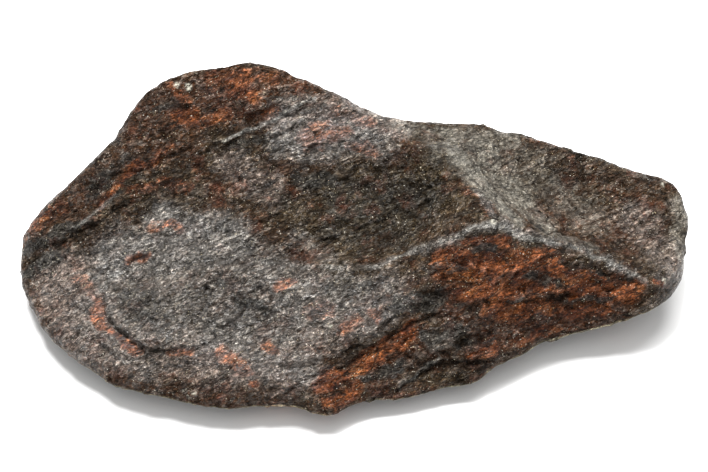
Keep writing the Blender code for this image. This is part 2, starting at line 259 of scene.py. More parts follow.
        ((14.0, -10.6, 5.4), (27.0, -7.4, 4.8), 2.2, 1.20),
        ((10.0, -6.4, 10.0), (28.0, -6.6, 7.0), 2.4, 0.90),
        ((-3.0, -16.4, 3.4), (7.0, -11.6, 5.4), 1.6, 0.90),
        ((-26.8, -6.0, 5.0), (-23.0, -12.6, 4.6), 1.2, 0.60),
        ((22.0, 4.0, 9.8), (30.0, 1.0, 8.0), 2.0, 0.45),
        ((-17.0, -14.8, 4.4), (-7.0, -15.6, 4.5), 2.0, 0.45),
        ((-31.4, -7.0, 4.2), (-27.0, -12.0, 4.0), 1.4, 0.40),
        ((-28.0, 0.6, 6.6), (-24.6, 1.0, 7.4), 1.2, 0.50),
    ),
    "olive": (
        ((-4.0, 3.0, 9.6), (9.0, 3.0, 12.5), 4.5, 1.00),
        ((6.0, 9.0, 13.8), (8.0, 5.4, 13.6), 1.4, 0.80),
        ((8.2, 5.4, 13.6), (12.4, -1.6, 13.4), 1.4, 0.90),
        ((-26.0, 7.0, 11.0), (-14.0, 10.0, 14.5), 3.5, 0.75),
        ((-18.0, 6.0, 11.4), (-13.0, 5.4, 11.0), 2.0, 0.60),
        ((20.0, 6.0, 10.4), (31.0, 5.0, 8.4), 3.6, 0.45),
        ((2.0, 12.8, 14.2), (8.0, 12.6, 13.4), 1.4, 0.70),
        ((5.0, -15.6, 2.6), (13.0, -13.9, 2.9), 1.0, 0.90),
    ),
}

# Named cracks and flake edges: points (x, y) along each, half width and depth in mm, and how
# much higher the ground stands on the left of the line than on its right
CRACKS = (
    (((-26.1, -4.6), (-26.3, -6.6), (-25.9, -8.2), (-24.6, -9.9), (-21.9, -12.2)), 0.14, 0.34, 0.55),
    (((-21.9, -12.2), (-19.8, -12.5), (-17.0, -12.5)), 0.13, 0.24, 0.36),
    (((-21.6, -10.2), (-20.6, -8.8), (-18.9, -8.7), (-18.0, -9.9)), 0.12, 0.20, 0.0),
    (((-18.0, -9.9), (-18.4, -11.5), (-19.9, -12.1), (-21.4, -11.2)), 0.12, 0.20, -0.20),
    (((-30.4, -2.6), (-31.2, -4.2), (-30.4, -6.0), (-28.4, -7.2)), 0.12, 0.18, 0.24),
    (((-28.8, -9.6), (-26.6, -11.2), (-23.6, -13.8), (-20.8, -14.6)), 0.12, 0.18, 0.22),
    (((-20.6, 0.6), (-18.2, 0.0), (-15.6, 0.4), (-13.4, 0.0)), 0.12, 0.18, 0.24),
    (((-19.4, -2.6), (-16.8, -3.4), (-14.2, -3.0)), 0.11, 0.14, 0.20),
    (((-18.4, -14.2), (-15.2, -14.0), (-12.0, -14.6), (-9.0, -14.2)), 0.12, 0.18, 0.22),
    (((-16.0, -9.4), (-13.4, -10.2), (-10.6, -9.8)), 0.11, 0.16, 0.22),
    (((-35.2, 0.2), (-31.6, 1.2), (-28.4, 2.3), (-24.6, 3.6)), 0.16, 0.26, 0.22),
    (((-34.8, -2.2), (-31.2, -0.6), (-28.4, 0.2), (-25.4, -0.4)), 0.13, 0.16, 0.12),
    (((-15.4, -6.3), (-13.0, -7.3), (-11.0, -8.0), (-8.6, -8.6)), 0.12, 0.12, 0.20),
    (((-14.4, -4.8), (-11.8, -5.6), (-9.4, -6.6)), 0.11, 0.08, 0.12),
    (((-7.0, -17.2), (-2.1, -14.6), (1.8, -12.6), (5.5, -10.8), (8.4, -9.8)), 0.12, 0.20, 0.24),
    (((4.6, -16.2), (6.6, -14.6), (8.8, -13.4), (13.9, -13.2)), 0.15, 0.26, 0.30),
    (((3.0, -10.6), (5.6, -9.6), (9.0, -8.6), (12.0, -7.2)), 0.13, 0.18, 0.16),
    (((-8.0, -6.0), (-4.0, -6.4), (0.0, -7.0), (3.6, -6.8)), 0.12, 0.12, 0.12),
    (((-5.0, -10.4), (-2.0, -10.0), (1.0, -8.8)), 0.11, 0.12, 0.12),
    (((-9.2, -11.4), (-6.8, -11.8), (-5.4, -12.8)), 0.11, 0.12, 0.10),
    (((17.0, -8.4), (20.0, -7.4), (23.4, -6.9)), 0.12, 0.18, 0.16),
    (((12.0, -9.6), (15.0, -8.8), (18.6, -8.6)), 0.12, 0.18, 0.14),
    (((22.6, -7.6), (26.2, -7.1), (29.4, -6.7)), 0.12, 0.16, 0.12),
    (((24.4, -5.0), (27.0, -5.1), (29.6, -5.5)), 0.14, 0.22, 0.14),
    (((18.6, -0.6), (19.4, -1.4), (20.4, -2.0)), 0.22, 0.30, 0.0),
    (((-5.4, 6.2), (-3.4, 5.6), (-1.6, 5.9), (0.6, 5.4)), 0.11, 0.12, 0.10),
    (((-4.6, 4.4), (-2.0, 4.2), (0.4, 4.8)), 0.10, 0.10, 0.0),
    (((-13.9, 8.6), (-11.2, 9.4), (-8.4, 10.3), (-7.1, 11.3), (-3.7, 12.8)), 0.11, 0.15, 0.16),
    (((-3.4, 11.0), (-0.6, 11.7), (1.8, 11.2)), 0.11, 0.12, 0.14),
    (((-26.0, 6.4), (-23.0, 6.6), (-20.0, 8.2), (-17.6, 8.8)), 0.13, 0.18, 0.16),
)

# Thin pale lips along edges and ridge crests, worn edges painted paler as a highlight: points
# (x, y), half width and strength
LIPS = (
    (((-13.9, 9.0), (-11.2, 9.8), (-8.4, 10.6), (-7.1, 11.6), (-4.0, 13.0)), 0.13, 1.0),
    (((-3.0, 11.5), (-0.6, 12.1)), 0.15, 0.6),
    (((-10.4, -3.4), (-7.2, -3.6), (-2.4, -4.5), (2.8, -4.9), (7.1, -3.9), (10.6, -4.0)), 0.24, 0.35),
    (((10.6, -4.0), (12.6, -3.5), (14.2, -3.0)), 0.24, 0.55),
    (((14.2, -3.1), (16.8, -3.4), (19.0, -3.5)), 0.24, 0.75),
    (((19.0, -3.5), (22.8, -3.4), (25.2, -4.1)), 0.20, 0.60),
    (((25.2, -4.1), (27.9, -4.4), (30.7, -5.3)), 0.22, 0.75),
    (((-24.9, -3.1), (-26.0, -4.0), (-27.1, -5.0)), 0.3, 0.8),
    (((4.8, -16.0), (6.8, -14.3), (8.8, -13.1)), 0.14, 0.7),
    (((-30.0, 2.2), (-27.4, 3.7), (-25.0, 4.6)), 0.16, 0.6),
)

# Broad swells, which correct the solid's outline a little: centre (x, y, z), radius and height
SWELLS = (
    ((-33.6, 3.4, 5.4), 4.6, 0.55),
    ((-31.0, 6.6, 8.0), 5.2, 0.30),
    ((-28.6, 8.8, 10.4), 4.4, 0.45),
    ((-16.0, 15.8, 17.8), 6.0, -0.38),
    ((-8.0, 15.4, 17.7), 5.0, -0.28),
    ((12.0, 12.4, 13.0), 3.4, -0.40),
    ((18.2, 11.6, 11.8), 2.6, 0.35),
    ((27.0, 9.8, 9.6), 3.0, 0.28),
    ((33.6, 6.6, 8.3), 2.4, -0.35),
    ((36.0, 4.0, 6.4), 2.6, 0.30),
    ((-21.6, -8.4, 5.8), 3.4, 0.26),
    ((-19.7, -10.1, 5.6), 1.6, 0.16),
)

# Single bright specks: x, y, radius
SPECKS = (
    (-17.9, 14.3, 0.46),
    (-19.2, 14.5, 0.36),
    (14.5, -2.9, 0.34),
    (-13.9, 9.0, 0.22),
    (33.8, 7.6, 0.25),
    (32.9, -4.8, 0.28),
    (-16.4, -17.1, 0.20),
    (-17.3, -16.8, 0.18),
    (-16.9, -17.3, 0.14),
    (-2.3, -10.6, 0.22),
)

# Each crust's darker and lighter colour
COLOURS = {
    "ground": ((0.018, 0.012, 0.007, 1), (0.074, 0.049, 0.027, 1)),
    # The silver colours hold a painted sheen as well as the crust's own colour
    "silver_and_sheen": ((0.070, 0.063, 0.056, 1), (0.220, 0.206, 0.187, 1)),
    "rust": ((0.066, 0.017, 0.008, 1), (0.26, 0.076, 0.023, 1)),
    "dark": ((0.010, 0.010, 0.009, 1), (0.054, 0.052, 0.046, 1)),
    "brown": ((0.020, 0.008, 0.004, 1), (0.092, 0.033, 0.014, 1)),
    "dust": ((0.090, 0.081, 0.065, 1), (0.22, 0.206, 0.172, 1)),
    "olive": ((0.014, 0.009, 0.004, 1), (0.056, 0.039, 0.019, 1)),
    "plum": ((0.095, 0.072, 0.060, 1), (0.23, 0.182, 0.155, 1)),
    "glint": ((0.52, 0.42, 0.24, 1), (0.70, 0.68, 0.62, 1)),
}

# The colours of the marks on the crusts
RED_GROUND = (0.066, 0.027, 0.014, 1)
ORANGE_RUST = (0.35, 0.130, 0.040, 1)
RUST_PIT = (0.020, 0.008, 0.006, 1)
RED_STAIN = (0.096, 0.028, 0.015, 1)
DARK_LENS = (0.020, 0.016, 0.013, 1)
SCRATCH = (0.030, 0.024, 0.017, 1)
PROUD_HIGHLIGHT = (0.17, 0.150, 0.130, 1)
HOLLOW_SHADE = (0.020, 0.013, 0.008, 1)
WORN_LIP_HIGHLIGHT = (0.36, 0.36, 0.335, 1)
FLOOR_GLOW_ON_RIM = (0.46, 0.42, 0.28, 1)
# The cracks' colour; on the dark lines it is painted shade in the creases
CRACK_AND_SHADE = (0.014, 0.010, 0.007, 1)
PALE_SPECK = (0.60, 0.57, 0.47, 1)

# A pale line is a painted highlight: the crust's own colour, this much brighter, with this much added
HIGHLIGHT_LINE_GAIN = (2.3, 2.3, 2.3, 1)
HIGHLIGHT_LINE_GLOW = (0.070, 0.064, 0.052, 1)

# The height in mm that one unit of the bump pattern stands for
BUMP_UNIT = 0.1

# Soft lights from behind and above: name, place, diameter in metres and power in watts
SOFTBOXES = (
    ("high_softbox", (-0.07, 0.22, 0.43), 0.22, 5.3),
    ("low_softbox", (0.12, 0.21, 0.38), 0.20, 1.3),
)

# The surround's brightness, and the floor's side in metres and its colour
SURROUND = 0.71
FLOOR_SIDE = 3.0
FLOOR_PAPER = (0.95, 0.95, 0.945, 1)

# The camera: its angle above the horizon in degrees, then its distance, the point that it looks
# at, its lens and the width of its film, in mm
CAMERA_ELEVATION = 48.0
CAMERA_DISTANCE = 212.0
CAMERA_TARGET = (0.075, 1.371, 6.951)
CAMERA_LENS = 100.0
CAMERA_FILM = 36.0


def gradient_noise(points, seed):
    """Smooth noise, about -1 to 1, that changes over a distance of about one unit."""
    rng = np.random.default_rng(seed)
    order = rng.permutation(256)
    gradients = rng.normal(size=(256, 3))
    gradients /= np.linalg.norm(gradients, axis=1)[:, None]
    cell = np.floor(points).astype(np.int64)
    part = points - cell
    fade = part**3 * (part * (part * 6.0 - 15.0) + 10.0)
    total = np.zeros(len(points))
    for corner in np.ndindex(2, 2, 2):
        at = (cell + corner) & 255
        key = order[(order[(order[at[:, 0]] + at[:, 1]) & 255] + at[:, 2]) & 255]
        weight = np.prod(np.where(corner, fade, 1.0 - fade), axis=1)
        total += weight * np.einsum("ij,ij->i", gradients[key], part - corner)
    return 1.6 * total


def rough_noise(points, octaves, seed):
    """Noise with finer noise on it, each octave half as long and half as strong."""
    total = np.zeros(len(points))
    for k in range(octaves):
        total += gradient_noise(points * 2.0**k + 17.3 * k, seed + k) / 2.0**k
    return total


def cells(points, seed):
    """Cells round scattered centres: how far from the border, each one's chance, and its face.

    Each cell has a flat face that leans its own way. The last value is the face's height.
    """
    rng = np.random.default_rng(seed)
    order = rng.permutation(256)
    jitter = rng.uniform(0.1, 0.9, size=(256, 3))
    chance = rng.uniform(size=256)
    lean = rng.uniform(-1.0, 1.0, size=(256, 3))
    cell = np.floor(points).astype(np.int64)
    near = np.full(len(points), 9.0)
    second = np.full(len(points), 9.0)
    own = np.zeros(len(points))
    face = np.zeros(len(points))
    for step in np.ndindex(3, 3, 3):
        at = cell + step - 1
        key = order[(order[(order[at[:, 0] & 255] + at[:, 1]) & 255] + at[:, 2]) & 255]
        away = points - at - jitter[key]
        gap = np.linalg.norm(away, axis=1)
        closer = gap < near
        second = np.where(closer, near, np.minimum(second, gap))
        near = np.where(closer, gap, near)
        own = np.where(closer, chance[key], own)
        face = np.where(closer, np.einsum("ij,ij->i", away, lean[key]), face)
    return near, second, own, face


def smooth_step(value, low, high):
    """A share that rises softly from 0 at the low value to 1 at the high one."""
    share = np.clip((value - low) / (high - low), 0.0, 1.0)
    return share * share * (3.0 - 2.0 * share)


def in_layers(points, along, across, through):
    """The points in the frame of the layers, each axis divided by its own grain length."""
    axes = np.column_stack([LAYER_ALONG / along, LAYER_ACROSS / across, LAYER_NORMAL / through])
    return points @ axes


def distance_to_line(points, line):
    """Distance in plan from the points to an open line, in mm, and the side: 1 left, -1 right."""
    nearest = np.full(len(points), 1e3)
    side = np.zeros(len(points))
    for start, end in zip(line[:-1], line[1:]):
        start, run = np.array(start), np.subtract(end, start)
        away = points[:, :2] - start
        share = np.clip((away @ run) / (run @ run), 0.0, 1.0)
        gap = np.linalg.norm(away - share[:, None] * run, axis=1)
        turn = np.sign(run[0] * away[:, 1] - run[1] * away[:, 0])
        side = np.where(gap < nearest, turn, side)
        nearest = np.minimum(nearest, gap)
    return nearest, side


def crust_share(points, rows):
    """How much of this crust lies at each point: a patch's strength in its middle, 0 outside."""
    share = np.zeros(len(points))
    for start, end, half_width, strength in rows:
        away, run = points - start, np.subtract(end, start)
        along = np.clip((away @ run) / (run @ run), 0.0, 1.0)
        gap = np.linalg.norm(away - along[:, None] * run, axis=1)
        share = np.maximum(share, strength * (1.0 - smooth_step(gap / half_width, 0.45, 1.45)))
    return share


def swells(points):
    """The broad swells' height, in mm."""
    height = np.zeros(len(points))
    for centre, radius, rise in SWELLS:
        away = np.linalg.norm(points - centre, axis=1) / radius
        height += rise * (1.0 - smooth_step(away, 0.0, 1.0))
    return height


def warped(points):
    """The points moved about a little, so that a patch's outline wanders."""
    moved = points.copy()
    for length, reach, seed in WANDERS:
        axes = [gradient_noise(points / length, SEED + seed + k) for k in range(3)]
        moved += reach * np.column_stack(axes)
    return moved


def skin_of(node):
    """A fine, even mesh over the solid's surface, with the solid's facets smoothed away."""
    shape = bmesh.new()
    shape.from_mesh(node.data)
    bmesh.ops.remove_doubles(shape, verts=shape.verts, dist=1e-6)
    mesh = bpy.data.meshes.new("meteorite_skin")
    shape.to_mesh(mesh)
    shape.free()
    coarse = bpy.data.objects.new("meteorite_skin_base", mesh)
    bpy.context.scene.collection.objects.link(coarse)
    rounded = coarse.modifiers.new("rounded", "SUBSURF")
    rounded.levels = rounded.render_levels = 2
    even = coarse.modifiers.new("even", "REMESH")
    even.mode = "VOXEL"
    even.voxel_size = SKIN_STEP * MM
    soft = coarse.modifiers.new("soft", "SMOOTH")
    soft.factor = 0.5
    soft.iterations = 3
    skin = bpy.data.objects.new("meteorite_skin", with_modifiers(coarse))
    bpy.context.scene.collection.objects.link(skin)
    bpy.data.objects.remove(coarse)
    thin_out_underside(skin)
    skin.data.name = "meteorite_skin"
    skin.data.shade_smooth()
    return skin


def with_modifiers(thing):
    """The object's mesh with its modifiers applied."""
    evaluated = thing.evaluated_get(bpy.context.evaluated_depsgraph_get())
    return bpy.data.meshes.new_from_object(evaluated)


def thin_out_underside(skin):
    """Larger faces where the stone faces down, until the skin has no more than its triangles."""
    underside = skin.vertex_groups.new(name="underside")
    down = np.flatnonzero(read_normals(skin.data)[:, 2] < -0.1)
    underside.add(down.tolist(), 1.0, "REPLACE")
    thin = skin.modifiers.new("thin", "DECIMATE")
    thin.vertex_group = underside.name
    thin.ratio = min(1.0, SKIN_TRIANGLES / (2.0 * len(skin.data.polygons)))
    thinned = with_modifiers(skin)
    skin.modifiers.remove(thin)
    skin.vertex_groups.remove(underside)
    skin.data = thinned


def read_points(mesh):
    """The mesh's points, in mm."""
    points = np.empty(len(mesh.vertices) * 3, np.float32)
    mesh.vertices.foreach_get("co", points)
    return points.reshape(-1, 3).astype(float) / MM


def read_normals(mesh):
    """The mesh's normals at its points."""
    normals = np.empty(len(mesh.vertices) * 3, np.float32)
    mesh.vertex_normals.foreach_get("vector", normals)
    return normals.reshape(-1, 3).astype(float)


def relief(points, masks):
    """How far the fine surface stands out from the solid, in mm.

    It also stores each flake's own tone, and the seams between the flakes.
    """
    wander = 1.3 * gradient_noise(points / 9.0, SEED) + 0.4 * gradient_noise(points / 3.0, SEED + 1)
    depth = points @ LAYER_NORMAL + wander
    broken = 0.5 + 0.5 * gradient_noise(points / 6.0, SEED + 2)
    height = np.zeros(len(points))
    for period, step, seed in LAYER_STEPS:
        ramp = depth / period + 0.4 * gradient_noise(points / (2.2 * period), SEED + seed)
        part = ramp - np.floor(ramp)
        height += step * (part - smooth_step(part, 0.80, 1.0) - 0.4) * (0.35 + broken)
    lumps = rough_noise(in_layers(points, *LUMP_GRAIN) / LUMP_SIZE, 3, SEED + 10)
    height += LUMP_HEIGHT * lumps
    wandering = warped(points)
    masks["tone"] = np.zeros(len(points))
    masks["seam"] = np.zeros(len(points))
    for lengths, step, lean, seed in FLAKES:
        near, second, own, face = cells(in_layers(wandering, *lengths), SEED + seed)
        edge = smooth_step(second - near, 0.0, 0.13)
        masks["tone"] += own / len(FLAKES)
        masks["seam"] = np.maximum(masks["seam"], 1.0 - edge)
        height += (step * (own - 0.5) + lean * face) * edge - 0.25 * step * (1.0 - edge)
    near, _, own, _ = cells(points / PIT_SPACING, SEED + 21)
    pit = (own > 1.0 - PIT_SHARE) * (1.0 - smooth_step(near, 0.08, 0.28))
    height -= PIT_DEPTH * pit
    scratch_at = [points @ SCRATCH_ALONG, points @ SCRATCH_ACROSS, points[:, 2]]
    scratch = gradient_noise(np.column_stack(scratch_at) / SCRATCH_SIZE, SEED + 30)
    height = height * masks["calm"] + SCRATCH_HEIGHT * masks["dust"] * scratch
    height += masks["raised"] - masks["crack_depth"]
    height += LIP_HEIGHT * masks["lip"]
    return height


def crack_masks(points, up):
    """How deep the named cracks are at each point, how high their edges stand, and the lips."""
    wandering = points.copy()
    wandering[:, 0] += 0.25 * gradient_noise(points / 1.2, SEED + 50)
    wandering[:, 1] += 0.25 * gradient_noise(points / 1.2, SEED + 51)
    uneven = 0.75 + 0.5 * gradient_noise(points / 1.8, SEED + 52)
    deep = np.zeros(len(points))
    raised = np.zeros(len(points))
    for line, half_width, depth, rise in CRACKS:
        gap, side = distance_to_line(wandering, line)
        deep = np.maximum(deep, depth * (1.0 - smooth_step(gap, 0.3 * half_width, 2.0 * half_width)))
        raised += 0.5 * rise * side * (1.0 - smooth_step(gap, 0.0, 2.0))
    lip = np.zeros(len(points))
    for line, half_width, strength in LIPS:
        gap, _ = distance_to_line(wandering, line)
        lip = np.maximum(lip, strength * (1.0 - smooth_step(gap, 0.4 * half_width, 1.8 * half_width)))
    speck = np.zeros(len(points))
    for x, y, radius in SPECKS:
        gap = np.hypot(points[:, 0] - x, points[:, 1] - y)
        speck = np.maximum(speck, 1.0 - smooth_step(gap, 0.5 * radius, radius))
    uneven = np.clip(uneven, 0.2, 1.2)
    return {
        "crack_depth": deep * uneven * up,
        "raised": raised * up,
        "lip": lip * uneven * up,
        "speck": speck * up,
    }


def hidden_side_crusts(points, up, masks):
    """The back, the ends and the underside carry the same crusts, in patches of their own."""
    away = 1.0 - up
    broad = rough_noise(in_layers(points, 9.0, 6.0, 4.0), 3, SEED + 80)
    other = rough_noise(in_layers(points + 40.0, 7.0, 5.0, 3.0), 3, SEED + 84)
    masks["rust"] = np.maximum(masks["rust"], away * 0.9 * smooth_step(broad, 0.18, 0.55))
    masks["dark"] = np.maximum(masks["dark"], away * 0.8 * smooth_step(-broad, 0.15, 0.6))
    masks["silver_and_sheen"] = np.maximum(masks["silver_and_sheen"], away * 0.55 * smooth_step(other, 0.1, 0.6))
    masks["olive"] = np.maximum(masks["olive"], away * 0.7 * smooth_step(-other, 0.0, 0.5))
    masks["brown"] = np.maximum(masks["brown"], away * 0.7 * smooth_step(broad + other, 0.0, 0.6))


def shape_skin(skin):
    """Works the fine relief into the skin, and stores its crusts and its painted light and shade as
    attributes.

    What shows from the front and from above counts as up: there the named patches and cracks lie.
    """
    mesh = skin.data
    points = read_points(mesh)
    normals = read_normals(mesh)
    far = smooth_step(points[:, 1], *FAR_SIDE)
    up = smooth_step(normals[:, 2] + 0.5 * (1.0 - far), 0.0, 0.35)
    wandering = warped(points)
    masks = {name: crust_share(wandering, rows) * up for name, rows in CRUSTS.items()}
    masks.update(crack_masks(points, up))
    hidden_side_crusts(points, up, masks)
    # The rim: where the low front edge faces down and forward; the material paints bounce light from the
    # floor there
    low_edge = 1.0 - smooth_step(np.abs(normals[:, 2] + 0.45), 0.10, 0.28)
    front = 1.0 - smooth_step(points[:, 1], *RIM_BACK)
    masks["rim"] = low_edge * front * (1.0 - smooth_step(points[:, 2], *RIM_TOP))
    worn = np.maximum(smooth_step(normals[:, 1], 0.15, 0.60), smooth_step(np.abs(normals[:, 0]), 0.35, 0.80))
    masks["calm"] = (1.0 - 0.55 * masks["dust"]) * (1.0 - 0.6 * masks["rim"]) * (1.0 - 0.5 * worn)
    height = relief(points, masks)
    free = smooth_step(points[:, 2], *REST_FADE)
    points += ((height + swells(points)) * free)[:, None] * normals
    points[:, 2] = np.maximum(points[:, 2], 0.0)
    mesh.vertices.foreach_set("co", (points * MM).astype(np.float32).ravel())
    # Hollows and cracks, which the material paints darker as shade
    hollow = smooth_step(-height, 0.05, 0.45)
    masks["hollow"] = np.maximum(hollow, smooth_step(masks["crack_depth"], 0.05, 0.3))
    # Raised parts, which the material paints paler as a highlight
    masks["proud"] = smooth_step(height, 0.06, 0.30)
    names = ("silver_and_sheen", "rust", "dark", "brown", "dust", "olive", "plum")
    for name in names + ("lip", "speck", "hollow", "proud", "rim", "tone", "seam"):
        attribute = mesh.attributes.new(name, "FLOAT", "POINT")
        attribute.data.foreach_set("value", masks[name].astype(np.float32))
    mesh.update()


class Graph:
    """Short names for adding a material's nodes and joining them."""

    def __init__(self, material):
        self.tree = material.node_tree
        self.shader = self.tree.nodes["Principled BSDF"]

    def add(self, kind, inputs=(), **settings):
        node = self.tree.nodes.new(kind)
        for name, value in settings.items():
            setattr(node, name, value)
        for name, value in dict(inputs).items():
            self.put(value, node.inputs[name])
        return node

    def put(self, value, socket):
        if isinstance(value, bpy.types.NodeSocket):
            self.tree.links.new(value, socket)
        else:
            socket.default_value = value

    def math(self, operation, a, b=0.0, clamp=False):
        node = self.add("ShaderNodeMath", {0: a, 1: b}, operation=operation, use_clamp=clamp)
        return node.outputs[0]

    def vectors(self, operation, a, b):
        return self.add("ShaderNodeVectorMath", {0: a, 1: b}, operation=operation)

    def mix(self, share, a, b, blend="MIX"):
        node = self.add("ShaderNodeMix", data_type="RGBA", blend_type=blend)
        self.put(share, node.inputs[0])
        self.put(a, node.inputs[6])
        self.put(b, node.inputs[7])
        return node.outputs[2]

    def ramp(self, value, low, high, to_low=0.0, to_high=1.0):
        node = self.add("ShaderNodeMapRange", {0: value, 1: low, 2: high, 3: to_low, 4: to_high})
        return node.outputs[0]

    def attribute(self, name):
        return self.add("ShaderNodeAttribute", attribute_name=name).outputs["Fac"]

    def noise(self, at, scale, detail, roughness=0.5, curl=0.0):
        inputs = {"Vector": at, "Scale": scale, "Detail": detail, "Roughness": roughness, "Distortion": curl}
        return self.add("ShaderNodeTexNoise", inputs).outputs["Fac"]

    def grains(self, at, scale):
        """Cells like crystal grains: two random values of each grain's own."""
        node = self.add("ShaderNodeTexVoronoi", {"Vector": at, "Scale": scale})
        split = self.add("ShaderNodeSeparateColor", {0: node.outputs["Color"]})
        return split.outputs[0], split.outputs[1]

    def facets(self, at, scale):
        """Cells with a flat face each, which leans its own way: the height of the face."""
        node = self.add("ShaderNodeTexVoronoi", {"Vector": at, "Scale": scale})
        away = self.vectors("SUBTRACT", at, node.outputs["Position"]).outputs[0]
        lean = self.vectors("SUBTRACT", node.outputs["Color"], (0.5, 0.5, 0.5)).outputs[0]
        return self.vectors("DOT_PRODUCT", away, lean).outputs["Value"]

    def line(self, value, level, half_width):
        """A thin line along which the noise has this level."""
        away = self.math("ABSOLUTE", self.math("SUBTRACT", value, level))
        return self.ramp(away, 0.0, half_width, 1.0, 0.0)

    def turned(self, at, turn, lengths):
        """Coordinates along turned axes, each divided by its own length."""
        inputs = {"Vector": at, "Rotation": turn, "Scale": lengths}
        return self.add("ShaderNodeMapping", inputs, vector_type="TEXTURE").outputs["Vector"]


def patterns(g):
    """The noises and grains that the crusts share, by name."""
    metres = g.add("ShaderNodeTexCoord").outputs["Object"]
    at = g.turned(metres, (0.0, 0.0, 0.0), (MM, MM, MM))
    layer_turn = Matrix(np.column_stack([LAYER_ALONG, LAYER_ACROSS, LAYER_NORMAL])).to_euler()
    scratch_turn = (0.0, 0.0, math.atan2(SCRATCH_ALONG[1], SCRATCH_ALONG[0]))

    def in_layers_of(*lengths):
        """Coordinates along, across and through the layers, each divided by its length in mm."""
        return g.turned(metres, layer_turn, tuple(length * MM for length in lengths))

    layered = in_layers_of(1.4, 1.1, 0.9)
    scratches = g.turned(metres, scratch_turn, (4.5 * MM, 0.8 * MM, 2.0 * MM))
    coarse, gloss = g.grains(layered, 2.8)
    return SimpleNamespace(
        at=at,
        layered=layered,
        flakes=in_layers_of(3.6, 2.0, 1.3),
        grain=g.grains(layered, 7.0)[0],
        coarse=coarse,
        gloss=gloss,
        broad=g.noise(at, 0.16, 5.0, 0.6),
        cloud=g.noise(layered, 0.6, 6.0, 0.68),
        fine=g.noise(layered, 4.0, 4.0, 0.75),
        wisp=g.noise(layered, 1.9, 5.0, 0.75),
        wrinkle=g.noise(layered, 0.9, 3.0, 0.6),
        small_wrinkle=g.noise(layered, 2.1, 2.0, 0.5),
        streaks=g.noise(in_layers_of(6.0, 2.6, 1.0), 1.0, 5.0, 0.62),
        strokes=g.noise(in_layers_of(1.0, 0.40, 0.40), 1.0, 3.0, 0.6, 0.8),
        dashes=g.noise(scratches, 1.4, 4.0, 0.6),
        calm=g.math("SUBTRACT", 1.0, g.math("MULTIPLY", g.attribute("dust"), 0.75)),
    )


def crust_colours(g, p):
    """Each crust's own colour and how it varies, laid over the ground where its patches are."""
    ground = g.mix(g.ramp(p.cloud, 0.35, 0.65), *COLOURS["ground"])
    ground = g.mix(g.ramp(p.broad, 0.4, 0.65, 0.0, 0.7), ground, RED_GROUND)
    silver_and_sheen = g.mix(g.ramp(p.fine, 0.35, 0.65), *COLOURS["silver_and_sheen"])
    rust = g.mix(g.ramp(p.streaks, 0.38, 0.58), *COLOURS["rust"])
    rust = g.mix(g.ramp(p.cloud, 0.50, 0.68, 0.0, 0.7), rust, ORANGE_RUST)
    dark = g.mix(g.ramp(p.fine, 0.3, 0.7), *COLOURS["dark"])
    brown = g.mix(g.ramp(p.cloud, 0.35, 0.65), *COLOURS["brown"])
    dust = g.mix(g.ramp(p.fine, 0.3, 0.7), *COLOURS["dust"])
    olive = g.mix(g.ramp(p.cloud, 0.35, 0.65), *COLOURS["olive"])
    plum = g.mix(g.ramp(p.fine, 0.35, 0.65), *COLOURS["plum"])

    def edged(name, gain, soften):
        """A crust's share, with its edge broken up by the clouds and the grain."""
        spread = g.math("MULTIPLY", g.math("SUBTRACT", p.cloud, 0.5), soften)
        speckle = g.math("MULTIPLY", g.math("SUBTRACT", p.coarse, 0.5), 0.35)
        value = g.math("ADD", g.attribute(name), g.math("ADD", spread, speckle))
        return g.ramp(value, 0.5 - gain, 0.5 + gain)

    colour = g.mix(g.math("MULTIPLY", edged("olive", 0.40, 1.0), 0.8), ground, olive)
    colour = g.mix(g.math("MULTIPLY", edged("brown", 0.45, 1.4), 0.85), colour, brown)
    colour = g.mix(g.math("MULTIPLY", edged("plum", 0.45, 1.2), 0.8), colour, plum)
    # The silver crust, whose pale colour is partly a painted sheen
    colour = g.mix(g.math("MULTIPLY", edged("silver_and_sheen", 0.45, 1.6), 0.9), colour, silver_and_sheen)
    colour = g.mix(g.math("MULTIPLY", edged("dust", 0.45, 0.5), 0.95), colour, dust)
    colour = g.mix(g.math("MULTIPLY", edged("rust", 0.28, 1.05), 0.94), colour, rust)
    pitted = g.math("MULTIPLY", g.ramp(p.fine, 0.47, 0.37, 0.0, 0.85), g.attribute("rust"))
    colour = g.mix(pitted, colour, RUST_PIT)
    return g.mix(g.math("MULTIPLY", edged("dark", 0.28, 0.8), 0.88), colour, dark)


